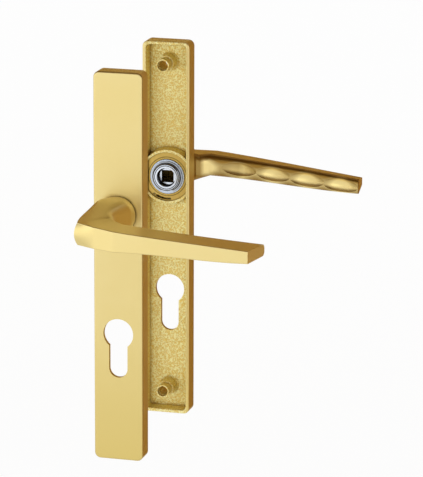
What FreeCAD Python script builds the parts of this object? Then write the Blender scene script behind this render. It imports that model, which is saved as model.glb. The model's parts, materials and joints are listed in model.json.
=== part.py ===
import FreeCAD, Part
import math
import os
from dataclasses import dataclass

"""Pair of lever handles on long narrow backplates with a euro-profile cut-out.

Two mirrored halves stand either side of a door leaf. Units are millimetres, +Z is up, +X runs
along the levers and +Y goes through the door from the outer half to the inner half. The origin
lies on the lever axis, in the plane where the outer backplate meets the door.

Each half is modelled in its own local frame: X and Z as above, and y counted outward from the
door face. The outer half is that model mirrored, and the inner half is moved by the door gap.
"""

V = FreeCAD.Vector
OUTWARD = V(0, 1, 0)

# Arrangement of the two halves
DOOR_GAP = 82.0              # between the two planes that meet the door
CYLINDER_CENTRES = 68.0      # lever axis to the centre of the euro cylinder

# Backplate casting
PLATE_WIDTH = 28.0
PLATE_HEIGHT = 220.0
PLATE_DEPTH = 11.0
PLATE_TOP = 79.3             # above the lever axis
PLATE_CORNER = 3.4
FACE_EDGE = 1.0              # rounding round the face
FACE_THICKNESS = 2.5
SIDE_WALL = 2.2
RIM_EDGE = 0.7               # rounding of the rim that meets the door
CAVITY_CORNER = 2.0

# Euro-profile cut-out
EURO_RADIUS = 8.6
EURO_SLOT_WIDTH = 10.6
EURO_HEIGHT = 33.6

# Fixing pillars
PILLAR_FROM_TOP = 12.8       # pillar's axis, from the plate's top end
PILLAR_FROM_FOOT = 14.7      # and from its foot end
PILLAR_BASE_RADIUS = 4.6
PILLAR_BASE_HEIGHT = 8.5
PILLAR_TIP_RADIUS = 3.7
PILLAR_TIP_HEIGHT = 6.5
PILLAR_ROOT = 0.8            # slope where a pillar meets the face
PILLAR_MOUTH_RADIUS = 3.1    # wider start of a pillar's bore, at its tip
PILLAR_MOUTH_DEPTH = 2.0
SCREW_BORE_RADIUS = 2.6      # clearance for an M5 screw in the inner half
THREAD_BORE_RADIUS = 2.1     # tapping size for M5 in the outer half
BLIND_FLOOR = 1.2            # metal left over a threaded bore
COUNTERSINK_RADIUS = 5.0     # for the screw's head, in the inner half's face

# Lever bearing
SLEEVE_RADIUS = 8.0
RUNNING_CLEARANCE = 0.05
BUSH_WALL = 1.4
BUSH_FLANGE_THICKNESS = 0.8
NECK_RING_THICKNESS = 0.7
NECK_RING_INSET = 0.7        # ring's edge inside the neck's edge
PLAY = 0.1                   # axial gap between pieces that turn on each other
OVERCUT = 1.0                # how far a cutter passes the face that it cuts

# Spindle sleeve
SLEEVE_END = 0.2             # end face, from the door plane
SLEEVE_IN_NECK = 7.0         # length pressed into the neck
SOCKET_RECESS_RADIUS = 5.5
SOCKET_RECESS_DEPTH = 3.6
SPINDLE_SQUARE = 7.1
KEY_FLAT = 6.9               # half distance across the sleeve's two flats
SLEEVE_CHAMFER = 0.4

# Rings on the sleeve
CIRCLIP_THICKNESS = 0.9
CIRCLIP_GROOVE_RADIUS = 7.2
CIRCLIP_OUTER_RADIUS = 9.0
CIRCLIP_OPENING = 50.0       # degrees
CIRCLIP_START = 1.5          # from the sleeve's end face
WASHER_THICKNESS = 0.6
WASHER_RADIUS = 10.2
WASHER_CHAMFER = 0.25

# Drive plate and its stops
DRIVE_THICKNESS = 0.9
HOUSING_CLEARANCE = 0.6      # between the round pieces in the housing and the side walls
LUG_RADIUS = 13.6
LUG_ROOT = 9.0               # where the lug starts inside the disc
LUG_HALF_ANGLE = 9.0
TRAVEL = 40.0                # degrees from rest to the lower stop
STOP_CLEARANCE = 1.5         # degrees left at each stop
STOP_WIDTH = 14.0            # degrees
STOP_INNER_RADIUS = 12.0
BOSS_INNER_RADIUS = 14.4
BOSS_OUTER_RADIUS = 15.8
BOSS_ROOT_RADIUS = 16.6      # where its drafted outside meets the face
BOSS_HEIGHT = 6.4
TAB_ANGLE = 135.0            # drive tab, from +X towards +Z
TAB_RADIUS = 11.2            # outside of the tab
TAB_WIDTH = 2.6
TAB_THICKNESS = 0.9
TAB_REACH = 2.1

# Cover plate staked in the housing, between the washer and the drive plate
COVER_THICKNESS = 0.7
COVER_BORE_RADIUS = 8.4
COVER_GAP = 0.5              # between its two flats and the plate's side walls
COVER_SLOT_INNER = 12.5
COVER_SLOT_OUTER = 13.7
COVER_SLOT_CENTRE = -105.0   # from +X towards +Z
COVER_SLOT_HALF_ANGLE = 24.0

# Return spring
SPRING_WIRE = 0.8
SPRING_RADIUS = 9.6
SPRING_PITCH = 0.86
SPRING_WHOLE_TURNS = 2       # turns between the two legs, rounded up
SPRING_SHORT_LEG = 11.0      # driven leg's end, from the lever axis
SPRING_LONG_LEG = 13.9       # fixed leg's end
FIXED_LEG_ANGLE = 100.0      # from +X towards +Z
ANCHOR_RADIUS = 1.1
ANCHOR_FROM_AXIS = 12.9
ANCHOR_HEIGHT = 3.0          # above the inner face of the plate
ANCHOR_SEAT = 1.2            # depth of its hole in the plate

# Lever casting
NECK_RADIUS = 10.3
FOOT_FLAT = 0.3              # half the flat left between the foot's roundings
CREST_EDGE = 0.5             # small rounding along the crisp edges
OUTER_LEVER_LENGTH = 88.0    # lever axis to the front edge of the tip
INNER_LEVER_LENGTH = 100.6
INNER_ARM_LIFT = 1.6         # of the arm's near end, against the outer lever's
INNER_TIP_DROP = 6.4
FALL_POWER = 1.35            # how the arm falls from its near end to its tip
OUTER_END_CUT = 0.135        # slant of the end cut
INNER_END_CUT = 0.02
SCALLOP_DEPTH = 2.3
SCALLOP_ROUND = 5.0          # radius of a scallop's cross-section
SCALLOP_COUNT = 4
SCALLOP_START = 21.5
SCALLOP_CREST = 0.4          # overlap of neighbours at the crest between them
GRUB_SCREW_RADIUS = 2.5
GRUB_SCREW_LENGTH = 6.0
GRUB_HEX_FLATS = 2.5
GRUB_HEX_DEPTH = 2.2
GRUB_DISTANCE = 4.2          # from the plate's face


@dataclass(frozen=True)
class Station:
    """One cross-section of a lever's arm.

    share is its place along the arm, outward its front edge from the plate's face, top and
    bottom the front edges' heights, depth its size towards the door, rise and sag how far
    the back edges lie above and below the front ones, and back_top and back_bottom the
    rounding there.
    """

    share: float
    outward: float
    top: float
    bottom: float
    depth: float
    rise: float
    sag: float
    back_top: float
    back_bottom: float


OUTER_ARM = (
    Station(0.14, 49.0, 2.9, -8.6, 20.0, 0.8, -0.1, 5.2, 4.2),
    Station(0.35, 50.4, 1.7, -8.1, 21.0, 0.3, 0.0, 5.2, 3.8),
    Station(0.60, 51.8, 0.5, -8.4, 22.2, -0.4, 0.1, 4.6, 3.4),
    Station(1.00, 53.9, -1.3, -8.1, 23.3, -0.9, 0.6, 2.9, 2.4),
)
INNER_ARM = (
    Station(0.14, 49.0, 2.9, -8.6, 19.0, 1.6, 0.2, 4.2, 4.0),
    Station(0.35, 50.4, 1.7, -8.3, 16.0, 1.3, 1.2, 3.0, 3.4),
    Station(0.60, 51.8, 0.4, -7.8, 14.0, 1.3, 2.5, 2.4, 2.8),
    Station(1.00, 53.9, -1.2, -5.6, 12.2, 0.9, 4.1, 2.0, 2.2),
)


@dataclass(frozen=True)
class LeverForm:
    """What differs between the two levers: reach, end cut, arm, and how it rises and falls."""

    length: float
    end_cut: float
    arm: tuple
    lift: float = 0.0
    tip_drop: float = 0.0


@dataclass(frozen=True)
class Turn:
    """One upright cross-section round the elbow, as it swings from the neck to the arm.

    outer and inner are (X, distance from the plate's face) of its two sides. The four heights
    are those of its corners, and outer_round and inner_round the rounding there.
    """

    outer: tuple
    inner: tuple
    outer_top: float
    inner_top: float
    inner_bottom: float
    outer_bottom: float
    outer_round: float
    inner_round: float
    bulge: float = 0.0


NECK_TURNS = (
    Turn((-10.6, 7.0), (9.5, 7.0), 10.2, 10.0, -10.2, -10.2, 5.0, 7.5),
    Turn((-10.6, 14.0), (7.0, 14.0), 9.7, 9.2, -10.0, -10.0, 4.0, 6.0),
    Turn((-10.5, 22.0), (4.8, 20.5), 8.6, 7.9, -10.5, -9.2, 3.0, 4.4),
    Turn((-10.2, 36.0), (5.6, 25.0), 6.8, 6.6, -11.2, -7.7, 1.2, 4.0, 0.6),
)
CORNER = Turn((-9.0, 45.0), (7.1, 27.3), 5.6, 5.4, -11.4, -6.8, 0.5, 4.0, 1.9)
ARM_TURN = Turn((1.0, 47.3), (9.2, 28.5), 4.2, 4.4, -10.2, -7.8, 0.5, 4.2)

# Levels counted outward from the door plane
WEB = PLATE_DEPTH - FACE_THICKNESS
NECK_BASE = PLATE_DEPTH + NECK_RING_THICKNESS + PLAY
CIRCLIP_LEVEL = SLEEVE_END + CIRCLIP_START
WASHER_LEVEL = CIRCLIP_LEVEL + CIRCLIP_THICKNESS + PLAY / 2
COVER_LEVEL = WASHER_LEVEL + WASHER_THICKNESS + PLAY / 2
DRIVE_LEVEL = COVER_LEVEL + COVER_THICKNESS + PLAY
SPRING_LEVEL = DRIVE_LEVEL + DRIVE_THICKNESS + PLAY
BUSH_FLANGE_LEVEL = WEB - BUSH_FLANGE_THICKNESS
DRIVE_RADIUS = PLATE_WIDTH / 2 - SIDE_WALL - HOUSING_CLEARANCE
BUSH_OUTER_RADIUS = SLEEVE_RADIUS + RUNNING_CLEARANCE + BUSH_WALL
LUG_REST_ANGLE = TRAVEL / 2  # the lug swings evenly about straight down
PILLAR_LEVELS = (PLATE_TOP - PILLAR_FROM_TOP, PLATE_TOP - PLATE_HEIGHT + PILLAR_FROM_FOOT)


def ring(inner, outer, start, length):
    """Flat ring about the lever axis, from start outward."""
    disc = Part.makeCylinder(outer, length, V(0, start, 0), OUTWARD)
    return disc.cut(Part.makeCylinder(inner, length, V(0, start, 0), OUTWARD))


def bevelled_disc(radius, start, length, bevel):
    """Disc about the lever axis, with the edge of its door side bevelled."""
    disc = Part.makeCylinder(radius, length, V(0, start, 0), OUTWARD)
    return disc.makeChamfer(bevel, edges_in_plane(disc, start))


def polar(radius, degrees, y=0.0):
    """Point at an angle from +X towards +Z."""
    angle = math.radians(degrees)
    return V(radius * math.cos(angle), y, radius * math.sin(angle))


def sector(inner, outer, centre, half_angle, start, length):
    """Part of a ring between two angles about the lever axis."""
    low, high = centre - half_angle, centre + half_angle
    edges = [
        Part.LineSegment(polar(inner, low, start), polar(outer, low, start)),
        Part.Arc(polar(outer, low, start), polar(outer, centre, start), polar(outer, high, start)),
        Part.LineSegment(polar(outer, high, start), polar(inner, high, start)),
        Part.Arc(polar(inner, high, start), polar(inner, centre, start), polar(inner, low, start)),
    ]
    return Part.Face(Part.Wire([e.toShape() for e in edges])).extrude(V(0, length, 0))


def rounded_block(half_width, bottom, top, start, length, radius):
    """Block with its four long edges rounded; the edges run outward."""
    block = Part.makeBox(2 * half_width, length, top - bottom, V(-half_width, start, bottom))
    edges = [e for e in block.Edges if abs(e.tangentAt(e.FirstParameter).y) > 0.99]
    return block.makeFillet(radius, edges)


def edges_in_plane(shape, level):
    """Edges that lie wholly in the plane y = level."""
    return [e for e in shape.Edges
            if abs(e.BoundBox.YMin - level) < 1e-4 and abs(e.BoundBox.YMax - level) < 1e-4]


def euro_profile(start, length):
    """Solid of the euro-cylinder profile: a round barrel over a narrow round-ended leg."""
    centre = -CYLINDER_CENTRES
    barrel = Part.makeCylinder(EURO_RADIUS, length, V(0, start, centre), OUTWARD)
    leg_radius = EURO_SLOT_WIDTH / 2
    leg_end = centre + EURO_RADIUS - EURO_HEIGHT + leg_radius
    leg = Part.makeBox(EURO_SLOT_WIDTH, length, centre - leg_end, V(-leg_radius, start, leg_end))
    foot = Part.makeCylinder(leg_radius, length, V(0, start, leg_end), OUTWARD)
    return barrel.fuse([leg, foot]).removeSplitter()


def shell():
    """Backplate as a rounded tray, open towards the door."""
    bottom = PLATE_TOP - PLATE_HEIGHT
    half = PLATE_WIDTH / 2
    body = rounded_block(half, bottom, PLATE_TOP, 0, PLATE_DEPTH, PLATE_CORNER)
    body = body.makeFillet(FACE_EDGE, edges_in_plane(body, PLATE_DEPTH))
    cavity = rounded_block(half - SIDE_WALL, bottom + SIDE_WALL, PLATE_TOP - SIDE_WALL,
                           0, WEB, CAVITY_CORNER)
    tray = body.cut(cavity)
    return tray.makeFillet(RIM_EDGE, edges_in_plane(tray, 0))


def pillar(height_above_axis):
    """Stepped fixing pillar that stands on the face and reaches into the door."""
    root = V(0, WEB, height_above_axis)
    base = Part.makeCylinder(PILLAR_BASE_RADIUS, PILLAR_BASE_HEIGHT, root, -OUTWARD)
    tip_length = PILLAR_BASE_HEIGHT + PILLAR_TIP_HEIGHT
    tip = Part.makeCylinder(PILLAR_TIP_RADIUS, tip_length, root, -OUTWARD)
    foot = Part.makeCone(PILLAR_BASE_RADIUS + PILLAR_ROOT, PILLAR_BASE_RADIUS, PILLAR_ROOT,
                         root, -OUTWARD)
    return base.fuse([tip, foot])


def bore_mouth(height_above_axis):
    """Wider start of a pillar's bore."""
    tip = WEB - PILLAR_BASE_HEIGHT - PILLAR_TIP_HEIGHT
    return Part.makeCylinder(PILLAR_MOUTH_RADIUS, PILLAR_MOUTH_DEPTH,
                             V(0, tip, height_above_axis), OUTWARD)


def threaded_bore(height_above_axis):
    """Blind bore of a pillar in the outer half, open at its tip."""
    tip = WEB - PILLAR_BASE_HEIGHT - PILLAR_TIP_HEIGHT
    length = PLATE_DEPTH - BLIND_FLOOR - tip
    bore = Part.makeCylinder(THREAD_BORE_RADIUS, length, V(0, tip, height_above_axis), OUTWARD)
    return bore.fuse(bore_mouth(height_above_axis))


def screw_bore(height_above_axis):
    """Clearance bore right through a pillar in the inner half, countersunk in the face."""
    tip = WEB - PILLAR_BASE_HEIGHT - PILLAR_TIP_HEIGHT
    depth = COUNTERSINK_RADIUS - SCREW_BORE_RADIUS
    bore = Part.makeCylinder(SCREW_BORE_RADIUS, PLATE_DEPTH - tip,
                             V(0, tip, height_above_axis), OUTWARD)
    sink = Part.makeCone(COUNTERSINK_RADIUS, SCREW_BORE_RADIUS, depth,
                         V(0, PLATE_DEPTH, height_above_axis), -OUTWARD)
    return bore.fuse([sink, bore_mouth(height_above_axis)])


def spring_housing():
    """Cast ring round the lever bearing, with the two stops for the drive plate's lug."""
    level = WEB - BOSS_HEIGHT
    outside = Part.makeCone(BOSS_OUTER_RADIUS, BOSS_ROOT_RADIUS, BOSS_HEIGHT,
                            V(0, level, 0), OUTWARD)
    wall = outside.cut(Part.makeCylinder(BOSS_INNER_RADIUS, BOSS_HEIGHT, V(0, level, 0), OUTWARD))
    swing = LUG_REST_ANGLE + LUG_HALF_ANGLE + STOP_CLEARANCE + STOP_WIDTH / 2
    mid_wall = (BOSS_INNER_RADIUS + BOSS_OUTER_RADIUS) / 2
    seat = COVER_LEVEL + COVER_THICKNESS
    stops = [sector(STOP_INNER_RADIUS, mid_wall, -90 + side * swing, STOP_WIDTH / 2,
                    seat, WEB - seat) for side in (-1, 1)]
    room = Part.makeBox(PLATE_WIDTH - SIDE_WALL, PLATE_DEPTH, 2 * BOSS_ROOT_RADIUS,
                        V(-(PLATE_WIDTH - SIDE_WALL) / 2, 0, -BOSS_ROOT_RADIUS))
    return wall.fuse(stops).common(room)


def backplate(pillar_bore):
    """Cast backplate with its spring housing, fixing pillars and openings."""
    pillars = [pillar(level) for level in PILLAR_LEVELS]
    plate = shell().fuse(pillars + [spring_housing()]).removeSplitter()
    holes = [pillar_bore(level) for level in PILLAR_LEVELS]
    holes.append(euro_profile(-OVERCUT, PLATE_DEPTH + 2 * OVERCUT))
    holes.append(Part.makeCylinder(BUSH_OUTER_RADIUS, PLATE_DEPTH, V(0, 0, 0), OUTWARD))
    holes.append(anchor_pin())
    return plate.cut(holes)


def bearing_bush():
    """Flanged bush pressed into the face, in which the sleeve turns."""
    bore = SLEEVE_RADIUS + RUNNING_CLEARANCE
    tube = ring(bore, BUSH_OUTER_RADIUS, BUSH_FLANGE_LEVEL, PLATE_DEPTH - BUSH_FLANGE_LEVEL)
    flange = ring(bore, DRIVE_RADIUS, BUSH_FLANGE_LEVEL, BUSH_FLANGE_THICKNESS)
    return tube.fuse(flange).removeSplitter()


def neck_ring():
    """Thin slide ring between the plate's face and the lever's neck."""
    return ring(BUSH_OUTER_RADIUS - BUSH_WALL, NECK_RADIUS - NECK_RING_INSET,
                PLATE_DEPTH, NECK_RING_THICKNESS)


def spindle_sleeve():
    """Steel sleeve pressed into the neck, with the square socket for the spindle."""
    end = NECK_BASE + SLEEVE_IN_NECK
    sleeve = bevelled_disc(SLEEVE_RADIUS, SLEEVE_END, end - SLEEVE_END, SLEEVE_CHAMFER)
    recess = Part.makeCylinder(SOCKET_RECESS_RADIUS, SOCKET_RECESS_DEPTH,
                               V(0, SLEEVE_END, 0), OUTWARD)
    half = SPINDLE_SQUARE / 2
    socket = Part.makeBox(SPINDLE_SQUARE, end - SLEEVE_END, SPINDLE_SQUARE,
                          V(-half, SLEEVE_END, -half))
    groove = ring(CIRCLIP_GROOVE_RADIUS, SLEEVE_RADIUS + OVERCUT, CIRCLIP_LEVEL - PLAY / 2,
                  CIRCLIP_THICKNESS + PLAY)
    flats = [Part.makeBox(SLEEVE_RADIUS, DRIVE_THICKNESS + PLAY, 2 * SLEEVE_RADIUS,
                          V(x, DRIVE_LEVEL - PLAY / 2, -SLEEVE_RADIUS))
             for x in (KEY_FLAT, -KEY_FLAT - SLEEVE_RADIUS)]
    return sleeve.cut([recess, socket, groove] + flats)


def circlip():
    """Open retaining ring in the sleeve's groove."""
    return sector(CIRCLIP_GROOVE_RADIUS + PLAY / 2, CIRCLIP_OUTER_RADIUS, 90,
                  180 - CIRCLIP_OPENING / 2, CIRCLIP_LEVEL, CIRCLIP_THICKNESS)


def thrust_washer():
    """Plain washer under the retaining ring."""
    disc = bevelled_disc(WASHER_RADIUS, WASHER_LEVEL, WASHER_THICKNESS, WASHER_CHAMFER)
    bore = SLEEVE_RADIUS + RUNNING_CLEARANCE
    return disc.cut(Part.makeCylinder(bore, WASHER_THICKNESS, V(0, WASHER_LEVEL, 0), OUTWARD))


def cover_plate():
    """Plate staked in the housing, with two flats and a slot that shows the stop lug."""
    disc = ring(COVER_BORE_RADIUS, BOSS_INNER_RADIUS, COVER_LEVEL, COVER_THICKNESS)
    slot = sector(COVER_SLOT_INNER, COVER_SLOT_OUTER, COVER_SLOT_CENTRE, COVER_SLOT_HALF_ANGLE,
                  COVER_LEVEL, COVER_THICKNESS)
    flat = PLATE_WIDTH / 2 - SIDE_WALL - COVER_GAP
    room = Part.makeBox(2 * flat, PLATE_DEPTH, 2 * BOSS_INNER_RADIUS,
                        V(-flat, 0, -BOSS_INNER_RADIUS))
    return disc.cut(slot).common(room)


def drive_plate():
    """Keyed disc that carries the stop lug and the tab that winds the spring."""
    disc = Part.makeCylinder(DRIVE_RADIUS, DRIVE_THICKNESS, V(0, DRIVE_LEVEL, 0), OUTWARD)
    lug = sector(LUG_ROOT, LUG_RADIUS, -90 + LUG_REST_ANGLE, LUG_HALF_ANGLE,
                 DRIVE_LEVEL, DRIVE_THICKNESS)
    tab = Part.makeBox(TAB_THICKNESS, TAB_REACH + DRIVE_THICKNESS, TAB_WIDTH,
                       V(TAB_RADIUS - TAB_THICKNESS, DRIVE_LEVEL, -TAB_WIDTH / 2))
    ear = Part.makeBox(TAB_RADIUS - LUG_ROOT, DRIVE_THICKNESS, TAB_WIDTH,
                       V(LUG_ROOT, DRIVE_LEVEL, -TAB_WIDTH / 2))
    tab = tab.fuse(ear)
    tab.rotate(V(0, 0, 0), OUTWARD, -TAB_ANGLE)
    bore = Part.makeCylinder(SLEEVE_RADIUS + RUNNING_CLEARANCE, DRIVE_THICKNESS,
                             V(0, DRIVE_LEVEL, 0), OUTWARD)
    key = Part.makeBox(2 * KEY_FLAT, DRIVE_THICKNESS, 2 * DRIVE_RADIUS,
                       V(-KEY_FLAT, DRIVE_LEVEL, -DRIVE_RADIUS))
    return disc.fuse([lug, tab]).cut(bore.common(key)).removeSplitter()


def rod(start, end, radius):
    """Round bar between two points."""
    return Part.makeCylinder(radius, start.distanceToPoint(end), start, end - start)


def anchor_pin():
    """Pin in the plate that holds the spring's fixed leg."""
    half_angle = math.degrees((ANCHOR_RADIUS + SPRING_WIRE / 2 + PLAY) / ANCHOR_FROM_AXIS)
    foot = polar(ANCHOR_FROM_AXIS, FIXED_LEG_ANGLE - half_angle, WEB + ANCHOR_SEAT)
    return Part.makeCylinder(ANCHOR_RADIUS, ANCHOR_HEIGHT + ANCHOR_SEAT, foot, -OUTWARD)


def return_spring():
    """Torsion spring: its short leg lies on the drive tab, its long leg on the anchor pin."""
    wire = SPRING_WIRE / 2
    beside_tab = math.degrees((TAB_WIDTH / 2 + wire + PLAY) / (TAB_RADIUS - TAB_THICKNESS / 2))
    first = TAB_ANGLE - beside_tab
    turns = SPRING_WHOLE_TURNS + (FIXED_LEG_ANGLE - first) / 360
    low = SPRING_LEVEL + wire
    high = low + turns * SPRING_PITCH
    path = Part.makeHelix(SPRING_PITCH, turns * SPRING_PITCH, SPRING_RADIUS, 0, True)
    path.rotate(V(0, 0, 0), V(1, 0, 0), -90)
    path.rotate(V(0, 0, 0), OUTWARD, -first)
    path.translate(V(0, low, 0))
    start = polar(SPRING_RADIUS, first, low)
    outline = Part.Wire(Part.Circle(start, path.Edges[0].tangentAt(0), wire).toShape())
    coil = Part.Wire(path.Edges).makePipeShell([outline], True, True)
    legs = []
    for angle, level, reach in ((first, low, SPRING_SHORT_LEG), (FIXED_LEG_ANGLE, high, SPRING_LONG_LEG)):
        bend = polar(SPRING_RADIUS, angle, level)
        legs.append(rod(bend, polar(reach, angle, level), wire))
        legs.append(Part.makeSphere(wire, bend))
    return coil.fuse(legs)


def section(origin, inward, corners, radii, bulge=0.0):
    """Closed outline with four rounded corners, in the upright plane through origin.

    corners are (distance inward, height) pairs: outer top, inner top, inner bottom and outer
    bottom. bulge bows the outer side out by that much.
    """
    inward = V(*inward).normalize()
    points = [V(a, z, 0) for a, z in corners]
    turns = []
    for i, (corner, radius) in enumerate(zip(points, radii)):
        before = (points[i - 1] - corner).normalize()
        after = (points[(i + 1) % 4] - corner).normalize()
        half = before.getAngle(after) / 2
        centre = corner + (before + after).normalize() * (radius / math.sin(half))
        run = radius / math.tan(half)
        middle = centre + (corner - centre).normalize() * radius
        turns.append((corner + before * run, middle, corner + after * run))

    def place(p):
        return origin + inward * p.x + V(0, 0, p.y)

    edges = []
    for i, (enter, middle, leave) in enumerate(turns):
        edges.append(Part.Arc(place(enter), place(middle), place(leave)))
        following = turns[(i + 1) % 4][0]
        if i == 3 and bulge:
            crown = (leave + following) / 2 - V(bulge, 0, 0)
            edges.append(Part.Arc(place(leave), place(crown), place(following)))
        else:
            edges.append(Part.LineSegment(place(leave), place(following)))
    return Part.Wire([e.toShape() for e in edges])


def round_end():
    """Outline of the neck's foot at the plate."""
    r = NECK_RADIUS
    return section(V(-r, NECK_BASE, 0), (1, 0, 0), ((0, r), (2 * r, r), (2 * r, -r), (0, -r)),
                   (r - FOOT_FLAT,) * 4)


def turn_section(turn):
    """Outline at one of the elbow's turns."""
    outer = V(turn.outer[0], PLATE_DEPTH + turn.outer[1], 0)
    inner = V(turn.inner[0], PLATE_DEPTH + turn.inner[1], 0)
    across = outer.distanceToPoint(inner)
    corners = ((0, turn.outer_top), (across, turn.inner_top), (across, turn.inner_bottom),
               (0, turn.outer_bottom))
    radii = (turn.outer_round, turn.inner_round, turn.inner_round, turn.outer_round)
    return section(outer, inner - outer, corners, radii, turn.bulge)


def arm_height(form, share):
    """How far the arm stands above the lever axis's level at any share of its length."""
    return form.lift - (form.lift + form.tip_drop) * share ** FALL_POWER


def arm_section(form, station):
    """Outline of the arm at one station; the last one slants with the end cut."""
    origin = V(form.length * station.share, PLATE_DEPTH + station.outward,
               arm_height(form, station.share))
    slant = form.end_cut if station.share == 1 else 0
    corners = ((0, station.top), (station.depth, station.top + station.rise),
               (station.depth, station.bottom - station.sag), (0, station.bottom))
    radii = (CREST_EDGE, station.back_top, station.back_bottom, CREST_EDGE)
    return section(origin, (slant, -1, 0), corners, radii)


def arm_at(form, share, field):
    """Value of one field of the arm's stations at any share, in straight steps."""
    for near, far in zip(form.arm, form.arm[1:]):
        if share <= far.share:
            part = (share - near.share) / (far.share - near.share)
            return getattr(near, field) + part * (getattr(far, field) - getattr(near, field))
    return getattr(form.arm[-1], field)


def grip_middle(form, x):
    """Middle of the arm's door side at a distance from the lever axis."""
    share = x / form.length
    outward, depth, top, rise, bottom, sag = (arm_at(form, share, field) for field in (
        "outward", "depth", "top", "rise", "bottom", "sag"))
    return V(x, PLATE_DEPTH + outward - depth,
             arm_height(form, share) + (top + rise + bottom - sag) / 2)


def scallop(start, end):
    """Spindle-shaped cutter for one hollow between two points of the arm's door side."""
    half_length = start.distanceToPoint(end) / 2 + SCALLOP_CREST
    long_radius = (half_length ** 2 + SCALLOP_DEPTH ** 2) / (2 * SCALLOP_DEPTH)
    reach = half_length + OVERCUT
    fall = long_radius - math.sqrt(long_radius ** 2 - reach ** 2)
    along = (end - start).normalize()
    inwards = V(-along.y, along.x, 0).normalize()
    middle = (start + end) / 2 + inwards * (SCALLOP_DEPTH - SCALLOP_ROUND)
    near, far = middle - along * reach, middle + along * reach
    rim = inwards * (fall - SCALLOP_ROUND)
    arc = Part.Arc(near + rim, middle - inwards * SCALLOP_ROUND, far + rim).toShape()
    sides = [Part.makeLine(a, b) for a, b in ((far + rim, far), (far, near), (near, near + rim))]
    return Part.Face(Part.Wire([arc] + sides)).revolve(middle, along, 360)


def finger_scallops(form):
    """Shallow oval hollows along the arm's door side, one for each finger."""
    pitch = (form.length - SCALLOP_START) / SCALLOP_COUNT
    ends = [grip_middle(form, SCALLOP_START + pitch * i) for i in range(SCALLOP_COUNT + 1)]
    return [scallop(start, end) for start, end in zip(ends, ends[1:])]


def lever(form):
    """Cast lever: round neck, leaning elbow, and an arm with a flat front and finger grip."""
    rising = [turn_section(turn) for turn in NECK_TURNS]
    corner = turn_section(CORNER)
    along = [arm_section(form, station) for station in form.arm]
    foot = Part.makeLoft([round_end(), rising[0]], True, True)
    neck = Part.makeLoft(rising + [corner], True, False)
    elbow = Part.makeLoft([corner, turn_section(ARM_TURN), along[0]], True, True)
    arm = Part.makeLoft(along, True, False)
    bore = Part.makeCylinder(SLEEVE_RADIUS, SLEEVE_IN_NECK, V(0, NECK_BASE, 0), OUTWARD)
    body = foot.fuse([neck, elbow, arm])
    for cutter in finger_scallops(form) + [bore]:
        body = body.cut(cutter)
    return body


def grub_hole(length=2 * NECK_RADIUS):
    """Screw hole from the underside of the neck to the spindle socket."""
    mouth = V(0, PLATE_DEPTH + GRUB_DISTANCE, -SPINDLE_SQUARE / 2 - length)
    return Part.makeCylinder(GRUB_SCREW_RADIUS, length, mouth)


def grub_screw():
    """Socket set screw that clamps the spindle."""
    end = -SPINDLE_SQUARE / 2 - PLAY
    head = V(0, PLATE_DEPTH + GRUB_DISTANCE, end - GRUB_SCREW_LENGTH)
    body = Part.makeCylinder(GRUB_SCREW_RADIUS, GRUB_SCREW_LENGTH, head)
    corner = GRUB_HEX_FLATS / math.sqrt(3)
    points = [head + V(corner * math.cos(math.radians(60 * i)),
                       corner * math.sin(math.radians(60 * i)), 0) for i in range(7)]
    hexagon = Part.Face(Part.makePolygon(points)).extrude(V(0, 0, GRUB_HEX_DEPTH))
    return body.cut(hexagon)


def half(handle, pillar_bore, clamped):
    """All pieces of one half in its local frame, by name, round its lever."""
    sleeve = spindle_sleeve()
    pieces = {
        "backplate": backplate(pillar_bore),
        "bearing_bush": bearing_bush(),
        "neck_ring": neck_ring(),
        "anchor_pin": anchor_pin(),
        "return_spring": return_spring(),
        "cover_plate": cover_plate(),
        "drive_plate": drive_plate(),
        "thrust_washer": thrust_washer(),
        "circlip": circlip(),
        "lever": handle,
        "spindle_sleeve": sleeve,
    }
    if clamped:
        hole = grub_hole()
        pieces["lever"] = handle.cut(hole)
        pieces["spindle_sleeve"] = sleeve.cut(hole)
        pieces["grub_screw"] = grub_screw()
    return pieces


def main():
    """Write one STEP file for each piece of both halves."""
    os.makedirs("parts", exist_ok=True)
    outer_form = LeverForm(OUTER_LEVER_LENGTH, OUTER_END_CUT, OUTER_ARM)
    inner_form = LeverForm(INNER_LEVER_LENGTH, INNER_END_CUT, INNER_ARM, INNER_ARM_LIFT,
                           INNER_TIP_DROP)
    outer = half(lever(outer_form), threaded_bore, clamped=False)
    inner = half(lever(inner_form), screw_bore, clamped=True)
    for name, shape in outer.items():
        shape.mirror(V(0, 0, 0), OUTWARD).exportStep(f"parts/outer_{name}.step")
    for name, shape in inner.items():
        shape.translate(V(0, DOOR_GAP, 0))
        shape.exportStep(f"parts/inner_{name}.step")
    for name, shape in list(outer.items()) + list(inner.items()):
        print(name, shape.isValid(), len(shape.Solids), round(shape.Volume, 1))


main()
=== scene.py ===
"""Pair of gold lever handles on long backplates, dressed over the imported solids."""

import json
import logging
import math
from dataclasses import dataclass
from enum import Enum
from functools import cached_property

import bmesh
import bpy
from mathutils import Matrix, Vector


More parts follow.
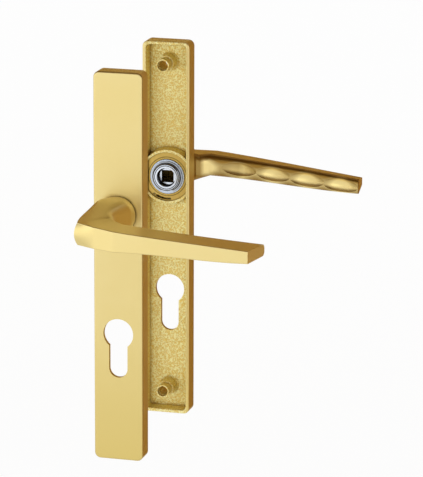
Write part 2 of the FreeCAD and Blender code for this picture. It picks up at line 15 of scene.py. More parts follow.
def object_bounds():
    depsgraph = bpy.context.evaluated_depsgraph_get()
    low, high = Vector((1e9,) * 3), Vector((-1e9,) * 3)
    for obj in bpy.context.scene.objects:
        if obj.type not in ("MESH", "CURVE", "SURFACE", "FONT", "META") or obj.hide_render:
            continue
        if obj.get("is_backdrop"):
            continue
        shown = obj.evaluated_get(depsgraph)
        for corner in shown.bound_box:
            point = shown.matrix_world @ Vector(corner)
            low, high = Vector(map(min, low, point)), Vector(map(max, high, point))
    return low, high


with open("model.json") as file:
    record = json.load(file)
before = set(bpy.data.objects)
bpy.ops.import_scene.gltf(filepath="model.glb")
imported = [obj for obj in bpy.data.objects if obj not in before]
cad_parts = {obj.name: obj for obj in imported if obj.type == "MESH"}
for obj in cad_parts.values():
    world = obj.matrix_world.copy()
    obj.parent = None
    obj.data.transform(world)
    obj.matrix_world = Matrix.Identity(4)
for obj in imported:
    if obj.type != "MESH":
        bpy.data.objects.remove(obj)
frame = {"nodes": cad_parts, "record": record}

LOG = logging.getLogger("handles")
MM = 0.001
WHITE = (1, 1, 1, 1)

# Openness at which a gap's painted shade is darkest, and at which it no longer shows
GAP_OPENNESS = (0.25, 0.9)

# Sockets of a Mix node that mixes colours
MIX_FACTOR = 0
MIX_FIRST = 6
MIX_SECOND = 7
MIX_RESULT = 2

Socket = bpy.types.NodeSocket
Colour = tuple[float, float, float]
Place = tuple[float, float, float]
Span = tuple[float, float]


class Side(Enum):
    """The two halves of the pair, by the face of the door that they stand on."""

    OUTER = "outer"
    INNER = "inner"

    @property
    def outward(self) -> float:
        """The sign of y that points away from the door."""
        return -1.0 if self is Side.OUTER else 1.0


@dataclass(frozen=True)
class Speckle:
    """A noise pattern that is fixed to an object.

    Attributes:
        scale: cells to the metre.
        detail: octaves of finer pattern.
        low: the noise that gives 0 once the pattern is stretched.
        high: the noise that gives 1 once the pattern is stretched.
    """

    scale: float
    detail: float
    low: float = 0.0
    high: float = 1.0


class Tree:
    """A node tree, with short calls for the nodes that the finishes and the studio share."""

    def __init__(self, tree: bpy.types.NodeTree, output: str) -> None:
        """Clear a tree and give it its output.

        Args:
            tree: the tree of a material or of the world.
            output: the output node's type, without the ShaderNode prefix.
        """
        tree.nodes.clear()
        self.tree = tree
        self.output = self.node(output)

    def link(self, source: Socket, target: Socket) -> None:
        """Join two sockets."""
        self.tree.links.new(source, target)

    def node(self, kind: str, **values: object) -> bpy.types.Node:
        """Add a node and set its properties.

        Args:
            kind: the node's type, without the ShaderNode prefix.
            **values: properties of the node, by name.

        Returns:
            The new node.
        """
        made = self.tree.nodes.new(f"ShaderNode{kind}")
        for key, value in values.items():
            setattr(made, key, value)
        return made

    def math(self, operation: str, first: Socket, second: Socket | float = 0.0) -> Socket:
        """Combine two values, or change one.

        Args:
            operation: the Math node's operation.
            first: the first value.
            second: another socket, or a number. An operation on one value ignores it.

        Returns:
            The result.
        """
        made = self.node("Math", operation=operation)
        self.link(first, made.inputs[0])
        if isinstance(second, (int, float)):
            made.inputs[1].default_value = second
        else:
            self.link(second, made.inputs[1])
        return made.outputs[0]

    def remap(self, value: Socket, low: float, high: float, to_low: float = 0.0,
              to_high: float = 1.0) -> Socket:
        """Stretch a value from one range to another, clamped.

        Args:
            value: the socket to read.
            low: input that gives to_low.
            high: input that gives to_high.
            to_low: output at low.
            to_high: output at high.

        Returns:
            The stretched value.
        """
        made = self.node("MapRange")
        for socket, number in zip(("From Min", "From Max", "To Min", "To Max"),
                                  (low, high, to_low, to_high)):
            made.inputs[socket].default_value = number
        self.link(value, made.inputs["Value"])
        return made.outputs["Result"]

    def mix(self, factor: Socket, first: Socket | Colour, second: Socket | Colour) -> Socket:
        """Mix two colours by a value.

        Args:
            factor: 0 gives the first colour and 1 gives the second.
            first: a socket or a plain colour.
            second: a socket or a plain colour.

        Returns:
            The mixed colour.
        """
        made = self.node("Mix", data_type="RGBA")
        self.link(factor, made.inputs[MIX_FACTOR])
        for index, colour in ((MIX_FIRST, first), (MIX_SECOND, second)):
            if isinstance(colour, tuple):
                made.inputs[index].default_value = (*colour, 1)
            else:
                self.link(colour, made.inputs[index])
        return made.outputs[MIX_RESULT]

    def seen(self) -> Socket:
        """Tell what is looked at from what only gives light.

        Returns:
            A value that is 1 to the camera, to clear pieces and to mirrors, and else 0.
        """
        path = self.node("LightPath")
        direct = self.math("MAXIMUM", path.outputs["Is Camera Ray"],
                           path.outputs["Is Transmission Ray"])
        return self.math("MAXIMUM", direct, path.outputs["Is Glossy Ray"])

    def show(self, surface: Socket) -> None:
        """Join a shader to the output."""
        self.link(surface, self.output.inputs["Surface"])

    def show_mixed(self, factor: Socket, first: Socket, second: Socket) -> None:
        """Join a mix of two shaders to the output.

        Args:
            factor: 0 gives the first shader and 1 gives the second.
            first: the first shader.
            second: the second shader.
        """
        mixed = self.node("MixShader")
        for index, socket in enumerate((factor, first, second)):
            self.link(socket, mixed.inputs[index])
        self.show(mixed.outputs[0])


class Graph(Tree):
    """A material's node tree, with the patterns that are fixed to an object."""

    def __init__(self, name: str) -> None:
        """Start a material with an empty tree and its output.

        Args:
            name: the material's name.
        """
        self.material = bpy.data.materials.new(name)
        self.material.use_nodes = True
        super().__init__(self.material.node_tree, "OutputMaterial")

    @cached_property
    def place(self) -> Socket:
        """The socket that gives a point's place on the object, in metres."""
        return self.node("TexCoord").outputs["Object"]

    @cached_property
    def axes(self) -> bpy.types.NodeOutputs:
        """Split that place into its coordinates.

        Returns:
            The sockets named X, Y and Z.
        """
        split = self.node("SeparateXYZ")
        self.link(self.place, split.inputs[0])
        return split.outputs

    def radius(self) -> Socket:
        """Measure from the lever axis, which is the object's Y axis.

        Returns:
            The distance, in metres.
        """
        flat = self.node("CombineXYZ")
        self.link(self.axes["X"], flat.inputs["X"])
        self.link(self.axes["Z"], flat.inputs["Y"])
        length = self.node("VectorMath", operation="LENGTH")
        self.link(flat.outputs[0], length.inputs[0])
        return length.outputs["Value"]

    def noise(self, speckle: Speckle) -> Socket:
        """Add a noise pattern as it is.

        Args:
            speckle: the pattern.

        Returns:
            The pattern's value.
        """
        made = self.node("TexNoise")
        made.inputs["Scale"].default_value = speckle.scale
        made.inputs["Detail"].default_value = speckle.detail
        self.link(self.place, made.inputs["Vector"])
        return made.outputs["Fac"]

    def stretched(self, speckle: Speckle) -> Socket:
        """Add a noise pattern, stretched to run from 0 to 1."""
        return self.remap(self.noise(speckle), speckle.low, speckle.high)

    def gap_shade(self, reach: float, dark: float) -> Socket:
        """Find gaps and corners, for the shade that is painted into them.

        Args:
            reach: how far a gap's other side may lie, in metres.
            dark: value in the tightest gap.

        Returns:
            A value that is 1 on open surfaces and falls to dark.
        """
        # Painted shade: ambient occlusion darkens gaps and corners.
        made = self.node("AmbientOcclusion", samples=8)
        made.inputs["Distance"].default_value = reach
        return self.remap(made.outputs["AO"], *GAP_OPENNESS, dark, 1.0)

    def tinted(self, colour: Socket, factor: Socket) -> Socket:
        """Scale a colour by a value.

        Args:
            colour: the colour.
            factor: the value.

        Returns:
            The scaled colour.
        """
        made = self.node("VectorMath", operation="SCALE")
        self.link(colour, made.inputs[0])
        self.link(factor, made.inputs["Scale"])
        return made.outputs[0]

    def bump(self, height: Socket, depth: float, strength: float,
             under: Socket | None = None) -> Socket:
        """Turn a height pattern into a shading normal.

        Args:
            height: the pattern, 0 to 1.
            depth: its full height, in metres.
            strength: share of it that shows.
            under: a normal that this one is laid on.

        Returns:
            The normal.
        """
        made = self.node("Bump")
        made.inputs["Strength"].default_value = strength
        made.inputs["Distance"].default_value = depth
        self.link(height, made.inputs["Height"])
        if under is not None:
            self.link(under, made.inputs["Normal"])
        return made.outputs["Normal"]

    def surface(self, metallic: float, roughness: Socket | float, colour: Socket,
                normal: Socket) -> bpy.types.Material:
        """Finish the material with its surface shader.

        Args:
            metallic: 0 for plastic to 1 for metal.
            roughness: 0 for a mirror to 1 for chalk, as a socket or a number.
            colour: the base colour.
            normal: the shading normal.

        Returns:
            The material.
        """
        made = self.node("BsdfPrincipled")
        made.inputs["Metallic"].default_value = metallic
        if isinstance(roughness, float):
            made.inputs["Roughness"].default_value = roughness
        else:
            self.link(roughness, made.inputs["Roughness"])
        self.link(colour, made.inputs["Base Color"])
        self.link(normal, made.inputs["Normal"])
        self.show(made.outputs["BSDF"])
        return self.material

    def paint(self, colour: Colour) -> Socket:
        """Add plain matt paint.

        Args:
            colour: its colour.

        Returns:
            The shader.
        """
        made = self.node("BsdfDiffuse")
        made.inputs["Color"].default_value = (*colour, 1)
        return made.outputs["BSDF"]


def darker(colour: Colour, share: float) -> Colour:
    """Scale a plain colour.

    Args:
        colour: the colour.
        share: factor on each channel.

    Returns:
        The scaled colour.
    """
    red, green, blue = colour
    return red * share, green * share, blue * share


@dataclass(frozen=True)
class Grip:
    """Where a lever's finger hollows are, for the painted shade and highlight on them.

    Lengths are in metres. Places along the arm are measured from the first hollow's near
    end. A pair says where an effect ends and where it is full.

    Attributes:
        start: X of the first hollow's near end.
        pitch: spacing of the hollows.
        side: Y of the arm's door side at start.
        slope: drift of that side with X.
        level: height of the hollows' middle at start.
        fall: drop of the middle with X.
        half_height: half the height of a hollow.
        shade_lean: how much more painted shade lies above a hollow than below it.
        wave: weight of the spacing against the height, in a hollow's outline.
        ridges: outline values of the painted shade between hollows.
        least_shade: share of painted shade that stays in a hollow.
        hollows: outline values of the painted highlight in a hollow.
        hollow_highlight: how much paler the painted highlight makes the gold.
        neck: places of the painted shade on the neck.
        neck_shade: share of painted shade on the neck.
        first_middle: place of the middle of the first hollow, which gets more painted shade.
        first_reach: distances from that middle.
        first_shade: share of painted shade on the first hollow.
        behind: distances behind the door side, past which nothing is shaded.
    """

    start: float = 21.5 * MM
    pitch: float = 19.775 * MM
    side: float = 124.8 * MM
    slope: float = 0.125
    level: float = -2.0 * MM
    fall: float = 0.1134
    half_height: float = 4.6 * MM
    shade_lean: float = 0.42
    wave: float = 0.5
    ridges: Span = (0.0, 1.15)
    least_shade: float = 0.08
    hollows: Span = (0.6, 0.0)
    hollow_highlight: float = 1.22
    neck: Span = (-9.5 * MM, -12.5 * MM)
    neck_shade: float = 0.85
    first_middle: float = 4 * MM
    first_reach: Span = (9 * MM, 5 * MM)
    first_shade: float = 0.6
    behind: Span = (4.6 * MM, 3.4 * MM)


@dataclass(frozen=True)
class Tray:
    """A backplate's hollow side, for a finish to tell its inside from its outside, and for its
    painted shade.

    Lengths are in metres. A pair says where an effect ends and where it is full.

    Attributes:
        rim: Y of the plate's rim.
        outward: the sign of Y that points away from the door.
        walls: distances from the middle plane, for the inside.
        ceiling: heights above the rim, for the inside.
        line: height above the rim of the thin line of painted shade behind the face.
        line_reach: distances from that line.
        line_shade: share of painted shade on the line.
        foot_shade: heights on the plate, for the painted shade towards its bottom.
    """

    rim: float
    outward: float
    walls: Span = (12.6 * MM, 12.0 * MM)
    ceiling: Span = (9.2 * MM, 8.9 * MM)
    line: float = 10.2 * MM
    line_reach: Span = (0.45 * MM, 0.2 * MM)
    line_shade: float = 0.7
    foot_shade: Span = (-50 * MM, -140 * MM)

    def above_rim(self, graph: Graph) -> Socket:
        """Height above the plate's rim, away from the door."""
        return graph.math("MULTIPLY", graph.math("SUBTRACT", graph.axes["Y"], self.rim),
                          self.outward)

    def inside(self, graph: Graph, above_rim: Socket) -> Socket:
        """Mask the plate's hollow side.

        Args:
            graph: the tree to build in.
            above_rim: height above the plate's rim.

        Returns:
            A value that is 1 inside the tray and 0 on its outside.
        """
        within = graph.remap(graph.math("ABSOLUTE", graph.axes["X"]), *self.walls)
        return graph.math("MULTIPLY", within, graph.remap(above_rim, *self.ceiling))


@dataclass(frozen=True)
class AnodisedGold:
    """Satin gold anodising on cast aluminium: smooth outside, pebbled inside the tray, with
    painted shade and highlight.

    Attributes:
        name: the material's name.
        pale: the palest plain gold.
        deep: the deepest plain gold.
        cast: the tops of the casting's pebbles, paler also as painted highlight.
        hollow: the dips between them, darker also as painted shade.
        foot_shade: the painted shade of the gold towards the bottom of a plate.
        shadow: the painted shade, in gaps, corners, the line behind a plate's face and round
            the finger hollows.
        metallic: share of metal in the surface.
        roughness: mean roughness.
        swing: how far the roughness drifts either way.
        tray_rough: extra roughness in the tray.
        gap_reach: how wide a gap still gets painted shade, in metres.
        gap_light: share of open gold left in the tightest gap's painted shade.
        clouds: the drift of colour and roughness.
        satin: the fine grain.
        satin_depth: its height, in metres.
        satin_shows: share of that height that shows.
        pebbles: the casting's coarse grain.
        pits: its finer grain.
        pebble_share: share of the pebbles in the two.
        cast_depth: height of the casting's grain, in metres.
    """

    name: str = "anodised gold"
    pale: Colour = (0.80, 0.66, 0.30)
    deep: Colour = (0.77, 0.625, 0.265)
    cast: Colour = (1.0, 0.95, 0.50)
    hollow: Colour = (0.78, 0.54, 0.11)
    foot_shade: Colour = (0.71, 0.555, 0.186)
    shadow: Colour = (0.30, 0.17, 0.03)
    metallic: float = 0.9
    roughness: float = 0.37
    swing: float = 0.03
    tray_rough: float = 0.05
    # Painted shade in gaps and corners
    gap_reach: float = 2.6 * MM
    gap_light: float = 0.15
    clouds: Speckle = Speckle(22, 3, 0.35, 0.65)
    satin: Speckle = Speckle(5200, 2)
    satin_depth: float = 0.012 * MM
    satin_shows: float = 0.5
    pebbles: Speckle = Speckle(1300, 2, 0.42, 0.58)
    pits: Speckle = Speckle(2800, 2, 0.40, 0.58)
    pebble_share: float = 0.7
    cast_depth: float = 0.18 * MM

    def smooth(self, grip: Grip | None = None) -> bpy.types.Material:
        """Build the finish of a lever, which is smooth all over.

        Args:
            grip: its finger hollows, where their shading is wanted.

        Returns:
            The material.
        """
        graph = Graph(self.name)
        colour, rough, satin = self._ground(graph)
        if grip is not None:
            colour = self._shaded_grip(graph, grip, colour)
        return graph.surface(self.metallic, rough, self._shaded_gaps(graph, colour), satin)

    def on_tray(self, tray: Tray) -> bpy.types.Material:
        """Build the finish of a backplate, which is rough on its hollow side.

        Args:
            tray: the plate's hollow side.

        Returns:
            The material.
        """
        graph = Graph(self.name)
        colour, rough, satin = self._ground(graph)
        # Painted shade: the gold deepens towards the bottom of a plate.
        colour = graph.mix(graph.remap(graph.axes["Z"], *tray.foot_shade), colour, self.foot_shade)
        above_rim = tray.above_rim(graph)
        # Painted shade: a thin dark line round the side walls, just behind the face.
        from_line = graph.math("ABSOLUTE", graph.math("SUBTRACT", above_rim, tray.line))
        line = graph.remap(from_line, *tray.line_reach, 0.0, tray.line_shade)
        colour = graph.mix(line, colour, self.shadow)
        inside = tray.inside(graph, above_rim)
        grain = graph.math("ADD",
                           graph.math("MULTIPLY", graph.stretched(self.pebbles),
                                      self.pebble_share),
                           graph.math("MULTIPLY", graph.stretched(self.pits),
                                      1 - self.pebble_share))
        # The casting's grain, with painted highlight on the pebble tops and painted shade in
        # the dips.
        colour = graph.mix(inside, colour, graph.mix(grain, self.hollow, self.cast))
        normal = graph.bump(graph.math("MULTIPLY", grain, inside), self.cast_depth, 1.0, satin)
        rough = graph.math("ADD", rough, graph.math("MULTIPLY", inside, self.tray_rough))
        return graph.surface(self.metallic, rough, self._shaded_gaps(graph, colour), normal)

    def _ground(self, graph: Graph) -> tuple[Socket, Socket, Socket]:
        """Lay the plain gold.

        Args:
            graph: the tree to build in.

        Returns:
            Its colour, its roughness and its satin normal.
        """
        clouds = graph.stretched(self.clouds)
        rough = graph.remap(clouds, 0, 1, self.roughness - self.swing,
                            self.roughness + self.swing)
        satin = graph.bump(graph.noise(self.satin), self.satin_depth, self.satin_shows)
        return graph.mix(clouds, self.deep, self.pale), rough, satin

    def _shaded_gaps(self, graph: Graph, colour: Socket) -> Socket:
        """Paint shade into corners and gaps."""
        return graph.mix(graph.gap_shade(self.gap_reach, self.gap_light), self.shadow, colour)

    def _shaded_grip(self, graph: Graph, grip: Grip, colour: Socket) -> Socket:
        """Paint highlight into the finger hollows, and paint shade between them and on the
        neck.

        Args:
            graph: the tree to build in.
            grip: where the hollows are.
            colour: the plain gold.

        Returns:
            The shaded colour.
        """
        along = graph.math("SUBTRACT", graph.axes["X"], grip.start)
        wave = graph.math("COSINE", graph.math("MULTIPLY", along, 2 * math.pi / grip.pitch))
        middle = graph.math("ADD", graph.math("MULTIPLY", along, -grip.fall), grip.level)
        above = graph.math("MULTIPLY", graph.math("SUBTRACT", graph.axes["Z"], middle),
                           1 / grip.half_height)
        outline = graph.math("ADD", graph.math("MULTIPLY", above, above),
                             graph.math("MULTIPLY", above, grip.shade_lean))
        outline = graph.math("ADD", outline, graph.math("MULTIPLY", wave, grip.wave))
        neck = graph.remap(along, *grip.neck, 0.0, grip.neck_shade)
        from_first = graph.math("ABSOLUTE", graph.math("SUBTRACT", along, grip.first_middle))
        first = graph.remap(from_first, *grip.first_reach, 0.0, grip.first_shade)
        side = graph.math("ADD", graph.math("MULTIPLY", along, grip.slope), grip.side)
        door_side = graph.remap(graph.math("SUBTRACT", graph.axes["Y"], side), *grip.behind)
        # Painted shade between the hollows, on the neck and on the first hollow.
        deep = graph.math("MAXIMUM", graph.remap(outline, *grip.ridges, grip.least_shade, 1.0),
                          graph.math("MAXIMUM", neck, first))
        # Painted highlight in the hollows.
        pale = graph.math("MULTIPLY", graph.remap(outline, *grip.hollows), door_side)
        lit = graph.tinted(colour, graph.remap(pale, 0, 1, 1.0, grip.hollow_highlight))
        return graph.mix(graph.math("MULTIPLY", deep, door_side), lit, self.shadow)


@dataclass(frozen=True)
class ShadedSocket:
    """A square spindle socket in a round recess, with the shade deep inside both painted black.

    Lengths are in metres. A pair says where the painted shade ends and where it is full, or the
    other way round for the square.

    Attributes:
        square: half sides, full and ending.
        recess_inner: radii at the recess's inner edge.
        recess_outer: radii at its outer edge.
        square_light: share of the steel's colour in the socket.
        recess_light: share of it in the recess.
    """

    square: Span = (3.56 * MM, 3.59 * MM)
    recess_inner: Span = (4.75 * MM, 4.85 * MM)
    recess_outer: Span = (5.60 * MM, 5.55 * MM)
    square_light: float = 0.004
    recess_light: float = 0.06

    def shade_socket(self, graph: Graph, radius: Socket, tint: Socket) -> Socket:
        """Paint shade into the socket and its recess.

        Args:
            graph: the tree to build in.
            radius: distance from the lever axis.
            tint: the steel's colour.

        Returns:
            The colour with the painted shade in the socket.
        """
        widest = graph.math("MAXIMUM", graph.math("ABSOLUTE", graph.axes["X"]),
                            graph.math("ABSOLUTE", graph.axes["Z"]))
        recess = graph.math("MULTIPLY", graph.remap(radius, *self.recess_inner),
                            graph.remap(radius, *self.recess_outer))
        bright = graph.math("MULTIPLY", graph.remap(recess, 0, 1, 1.0, self.recess_light),
                            graph.remap(widest, *self.square, self.square_light, 1.0))
        return graph.tinted(tint, bright)


@dataclass(frozen=True)
class TurnedSteel:
    """Bright plated steel with fine turning marks round the lever axis.

    Attributes:
        name: the material's name.
        base: its colour.
        roughness: its lowest roughness.
        marks: turning marks to the metre of radius.
        socket: the spindle socket in the piece, with its painted shade, if it has one.
        shade_rings: radii of thin rings of painted shade, in metres.
        shade_ring_light: share of the colour in a ring of painted shade.
        shade_ring_reach: distances from a ring of painted shade where it is full and where it
            ends.
        mark_depth: height of the turning marks, in metres.
        mark_shows: share of that height that shows.
        scuffs: the drift of colour and roughness.
        scuff_light: share of the colour in the darkest scuff.
        scuff_rough: extra roughness there.
        gap_reach: how wide a gap still gets painted shade, in metres.
        gap_light: share of the colour left in the tightest gap's painted shade.
    """

    name: str
    base: Colour = (0.74, 0.79, 0.87)
    roughness: float = 0.14
    marks: float = 900.0
    socket: ShadedSocket | None = None
    shade_rings: tuple[float, ...] = ()
    shade_ring_light: float = 0.06
    shade_ring_reach: Span = (0.12 * MM, 0.36 * MM)
    mark_depth: float = 0.01 * MM
    mark_shows: float = 0.35
    scuffs: Speckle = Speckle(450, 3, 0.3, 0.7)
    scuff_light: float = 0.93
    scuff_rough: float = 0.08
    gap_reach: float = 1.1 * MM
    gap_light: float = 0.03

    def material(self) -> bpy.types.Material:
        """Build the finish.

        Returns:
            The material.
        """
        graph = Graph(self.name)
        radius = graph.radius()
        lathe = graph.math("SINE", graph.math("MULTIPLY", radius, self.marks * 2 * math.pi))
        scuffs = graph.stretched(self.scuffs)
        tint = graph.mix(scuffs, darker(self.base, self.scuff_light), self.base)
        if self.socket is not None:
            # Painted shade deep in the socket and its recess.
            tint = self.socket.shade_socket(graph, radius, tint)
        # Painted shade: thin dark rings where shade falls in the gaps between turned parts.
        for shade_ring in self.shade_rings:
            away = graph.math("ABSOLUTE", graph.math("SUBTRACT", radius, shade_ring))
            tint = graph.tinted(tint, graph.remap(away, *self.shade_ring_reach,
                                                  self.shade_ring_light, 1.0))
        # Painted shade in gaps and corners.
        tint = graph.tinted(tint, graph.gap_shade(self.gap_reach, self.gap_light))
        rough = graph.remap(scuffs, 0, 1, self.roughness + self.scuff_rough, self.roughness)
        normal = graph.bump(lathe, self.mark_depth, self.mark_shows)
        return graph.surface(1.0, rough, tint, normal)


@dataclass(frozen=True)
class MouldedPlastic:
    """Moulded plastic with a fine spark-eroded grain.

    Attributes:
        name: the material's name.
        base: its colour.
        roughness: its roughness.
        grain: the grain.
        grain_light: share of the colour in the grain's dips.
        grain_depth: height of the grain, in metres.
        grain_shows: share of that height that shows.
    """

    name: str
    base: Colour
    roughness: float = 0.5
    grain: Speckle = Speckle(3800, 3, 0.3, 0.7)
    grain_light: float = 0.8
    grain_depth: float = 0.03 * MM
    grain_shows: float = 0.6

    def material(self) -> bpy.types.Material:
        """Build the finish.

        Returns:
            The material.
        """
        graph = Graph(self.name)
        grain = graph.noise(self.grain)
        tint = graph.mix(graph.remap(grain, self.grain.low, self.grain.high),
                         darker(self.base, self.grain_light), self.base)
        return graph.surface(0.0, self.roughness, tint,
                             graph.bump(grain, self.grain_depth, self.grain_shows))


@dataclass
class Fitting:
    """A sub-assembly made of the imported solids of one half.

    Attributes:
        side: the half.
        gold: the finish of its casting.
    """

    side: Side
    gold: AnodisedGold = AnodisedGold()

    def dress(self, part: str, finish: bpy.types.Material) -> None:
        """Give a solid its finish in every material slot.

        Args:
            part: the part's name without its half.
            finish: the material.
        """
        solid = frame["nodes"][f"{self.side.value}_{part}"]
        if not solid.material_slots:
            solid.data.materials.append(finish)
        for slot in solid.material_slots:
            slot.material = finish
        LOG.info("dressed %s_%s", self.side.value, part)


@dataclass
class Backplate(Fitting):
    """The cast tray with its cover, bush, neck ring and the spring's anchor pin.

    Attributes:
        cover: the finish of the cover plate.
        bush: the finish of the bearing bush.
        ring: the finish of the neck ring.
        pin: the finish of the anchor pin.
    """

    # Painted shade: the dark rings on the cover.
    cover: TurnedSteel = TurnedSteel("cover gold", (0.61, 0.42, 0.11), 0.34, 300,
                                     shade_rings=(9.5 * MM, 11.4 * MM), shade_ring_light=0.35)
    bush: MouldedPlastic = MouldedPlastic("bush plastic", (0.62, 0.58, 0.50))
    # A real plastic ring, whose near-black also stands for the shadow in the gap round the
    # neck.
    ring: MouldedPlastic = MouldedPlastic("neck ring plastic", (0.018, 0.014, 0.01))
    pin: TurnedSteel = TurnedSteel("pin steel", roughness=0.3)

    def build(self) -> None:
        """Dress the tray and what is fixed to it."""
        rim = next(mount["pos_m"][1] for mount in frame["record"]["mounts"]
                   if mount["name"] == f"{self.side.value}_rim")
        self.dress("backplate", self.gold.on_tray(Tray(rim, self.side.outward)))
        self.dress("cover_plate", self.cover.material())
        self.dress("bearing_bush", self.bush.material())
        self.dress("neck_ring", self.ring.material())
        self.dress("anchor_pin", self.pin.material())


@dataclass
class LeverSet(Fitting):
    """The lever with its sleeve, the rings on the sleeve and the spring that returns it.

    Attributes:
        sleeve: the finish of the spindle sleeve.
        washer: the finish of the thrust washer.
        circlip: the finish of the circlip.
        drive: the finish of the drive plate.
        spring: the finish of the return spring.
        grub: the finish of the grub screw, which only the inner half has.
        grip: the inner lever's finger hollows, which alone are in view, for their painted
            highlight and shade.
    """

    # Painted shade: the dark rings on the sleeve and the circlip.
    sleeve: TurnedSteel = TurnedSteel("sleeve steel", socket=ShadedSocket(),
                                      shade_rings=(6.75 * MM, 7.6 * MM))
    washer: TurnedSteel = TurnedSteel("washer steel", (0.60, 0.68, 0.80), 0.24)
    circlip: TurnedSteel = TurnedSteel("circlip steel", (0.58, 0.61, 0.66), 0.28,
                                       shade_rings=(8.3 * MM,))
    drive: TurnedSteel = TurnedSteel("yellow passivated steel", (0.66, 0.47, 0.14), 0.36, 500)
    spring: TurnedSteel = TurnedSteel("spring steel", (0.34, 0.34, 0.36), 0.3)
    grub: TurnedSteel = TurnedSteel("blackened steel", (0.05, 0.05, 0.055), 0.35)
    grip: Grip = Grip()

    def build(self) -> None:
        """Dress the lever, its sleeve and the rings on the sleeve."""
        inner = self.side is Side.INNER
        self.dress("lever", self.gold.smooth(self.grip if inner else None))
        self.dress("spindle_sleeve", self.sleeve.material())
        self.dress("thrust_washer", self.washer.material())
        self.dress("circlip", self.circlip.material())
        self.dress("drive_plate", self.drive.material())
        self.dress("return_spring", self.spring.material())
        if inner:
            self.dress("grub_screw", self.grub.material())


def stage_piece(name: str, sheet: bmesh.types.BMesh, material: bpy.types.Material
                ) -> bpy.types.Object:
    """Add a piece of the studio, which isn't part of the handles.

    Args:
        name: the piece's name.
        sheet: its mesh, which this frees.
        material: its material.

    Returns:
        The piece.
    """
    mesh = bpy.data.meshes.new(name)
    sheet.to_mesh(mesh)
    sheet.free()
    mesh.materials.append(material)
    piece = bpy.data.objects.new(name, mesh)
    bpy.context.scene.collection.objects.link(piece)
    piece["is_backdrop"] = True
    return piece


@dataclass(frozen=True)
class Lamp:
    """One soft square lamp.

    Attributes:
        name: the lamp's name.
        place: where it stands, in metres.
        aim: the point it faces, in metres.
        size: its side, in metres.
        watts: its power.
    """

    name: str
    place: Place
    aim: Place
    size: float
    watts: float

    def build(self) -> None:
        """Add the lamp."""
        data = bpy.data.lights.new(self.name, "AREA")
        data.shape = "SQUARE"
        data.size = self.size
        data.energy = self.watts
        lamp = bpy.data.objects.new(self.name, data)
        direction = Vector(self.aim) - Vector(self.place)
        lamp.rotation_euler = direction.to_track_quat("-Z", "Y").to_euler()
        lamp.location = self.place
        bpy.context.scene.collection.objects.link(lamp)


@dataclass(frozen=True)
class Card:
    """One plain card, unseen by the camera, that the metal's sides and tops mirror.

    Attributes:
        name: the card's name.
        place: its middle, in metres.
        aim: the point it faces, in metres.
        size: its width and height, in metres.
        tint: its colour.
    """

    name: str
    place: Place
    aim: Place
    size: Span
    tint: Colour

    def build(self) -> None:
        """Add the card."""
        sheet = bmesh.new()
        bmesh.ops.create_grid(sheet, x_segments=1, y_segments=1, size=0.5)
        bmesh.ops.scale(sheet, verts=sheet.verts, vec=(*self.size, 1))
        facing = Vector(self.aim) - Vector(self.place)
        turn = facing.to_track_quat("Z", "Y").to_matrix().to_4x4()
        bmesh.ops.transform(sheet, verts=sheet.verts,
                            matrix=Matrix.Translation(self.place) @ turn)
        graph = Graph(self.name)
        graph.show(graph.paint(self.tint))
        stage_piece(self.name, sheet, graph.material).visible_camera = False


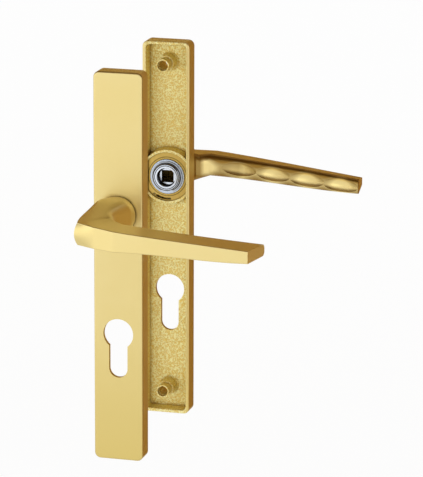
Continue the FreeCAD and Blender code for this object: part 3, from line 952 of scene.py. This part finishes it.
@dataclass
class Studio:
    """Camera, lamps, cards, floor and surround.

    Attributes:
        yaw: the camera's turn round the pair, in degrees from the front to the right.
        pitch: its height over the pair, in degrees.
        roll: its roll, in degrees.
        lens: its focal length, in millimetres.
        sensor: its sensor's width, in millimetres.
        target: the point it faces, in millimetres.
        distance: its distance from that point, in millimetres.
        lamps: the soft lamps.
        cards: the cards round the back and over the top.
        floor_drop: depth of the floor below the pair, in millimetres.
        floor_half: half the floor's side, in metres.
        floor_tint: the floor's paint.
        floor_glow: strength of the white where the floor is seen.
        floor_share: share of that white; the rest is paint, which keeps the shadow.
        behind: the surround's light from behind the pair.
        before: its light from in front.
        turn: a direction's Y where the light is all behind and where it is all before.
    """

    yaw: float = 15.57
    pitch: float = 14.18
    roll: float = 0.23
    lens: float = 251.8
    sensor: float = 36.0
    target: Place = (50.2, 0.0, -12.54)
    distance: float = 1827.0
    lamps: tuple[Lamp, ...] = (
        Lamp("front", (-1.3, -1.7, 0.0), (0.03, 0.0, -0.03), 1.4, 4.6),
        Lamp("right", (0.7, -2.0, 0.1), (0.03, 0.0, -0.03), 1.0, 2.6),
    )
    cards: tuple[Card, ...] = (
        Card("near_card", (0.18, 0.60, 0.0), (0.02, 0.0, 0.0), (0.30, 1.1),
             (0.54, 0.275, 0.035)),
        Card("right_card", (0.66, 0.28, 0.0), (0.02, 0.0, 0.0), (1.0, 1.1),
             (0.84, 0.55, 0.13)),
        Card("back_card", (-0.35, 0.85, 0.35), (0.02, 0.0, 0.0), (1.5, 0.9),
             (0.66, 0.41, 0.09)),
        Card("top_card", (0.0, -0.08, 0.6), (0.0, -0.07, 0.0), (2.2, 1.06),
             (0.26, 0.145, 0.03)),
    )
    floor_drop: float = 420.0
    floor_half: float = 6.0
    floor_tint: Colour = (0.8, 0.8, 0.8)
    floor_glow: float = 1.05
    floor_share: float = 0.85
    behind: Colour = (0.72, 0.72, 0.72)
    before: Colour = (0.9, 0.9, 0.9)
    turn: Span = (0.2, -0.8)

    def build(self) -> None:
        """Set up the whole studio."""
        self.camera()
        for piece in self.lamps + self.cards:
            piece.build()
        self.floor()
        self.surround()
        LOG.info("studio ready")

    def camera(self) -> None:
        """Add the camera that looks at the pair from its upper right."""
        yaw, pitch = math.radians(self.yaw), math.radians(self.pitch)
        back = Vector((math.sin(yaw) * math.cos(pitch), -math.cos(yaw) * math.cos(pitch),
                       math.sin(pitch)))
        right = Vector((math.cos(yaw), math.sin(yaw), 0))
        up = back.cross(right)
        turn = Matrix((right, up, back)).transposed()
        turn = turn @ Matrix.Rotation(math.radians(self.roll), 3, "Z")
        data = bpy.data.cameras.new("camera")
        data.lens = self.lens
        data.sensor_width = self.sensor
        data.clip_end = 50
        camera = bpy.data.objects.new("camera", data)
        place = (Vector(self.target) + back * self.distance) * MM
        camera.matrix_world = Matrix.Translation(place) @ turn.to_4x4()
        bpy.context.scene.collection.objects.link(camera)
        bpy.context.scene.camera = camera

    def floor(self) -> None:
        """Add the pale floor under the pair: white where it is seen, else matt paint."""
        low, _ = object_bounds()
        sheet = bmesh.new()
        bmesh.ops.create_grid(sheet, x_segments=1, y_segments=1, size=self.floor_half)
        bmesh.ops.translate(sheet, verts=sheet.verts, vec=(0, 0, low[2] - self.floor_drop * MM))
        graph = Graph("pale floor")
        white = graph.node("Emission")
        white.inputs["Color"].default_value = WHITE
        white.inputs["Strength"].default_value = self.floor_glow
        graph.show_mixed(graph.math("MULTIPLY", graph.seen(), self.floor_share),
                         graph.paint(self.floor_tint), white.outputs[0])
        stage_piece("floor", sheet, graph.material)

    def surround(self) -> None:
        """Add the world: white where it is seen, softer as light on the pair."""
        world = bpy.data.worlds.new("surround")
        world.use_nodes = True
        bpy.context.scene.world = world
        tree = Tree(world.node_tree, "OutputWorld")
        direction = tree.node("SeparateXYZ")
        tree.link(tree.node("TexCoord").outputs["Generated"], direction.inputs[0])
        soft = tree.node("Background")
        tree.link(tree.mix(tree.remap(direction.outputs["Y"], *self.turn), self.behind,
                           self.before), soft.inputs["Color"])
        white = tree.node("Background")
        white.inputs["Color"].default_value = WHITE
        tree.show_mixed(tree.seen(), soft.outputs[0], white.outputs[0])


def main() -> None:
    """Build the studio and dress both halves."""
    logging.basicConfig(level=logging.INFO, format="%(message)s")
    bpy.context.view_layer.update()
    view = bpy.context.scene.view_settings
    view.view_transform = "Standard"
    Studio().build()
    for side in Side:
        Backplate(side).build()
        LeverSet(side).build()


if __name__ == "__main__":
    main()
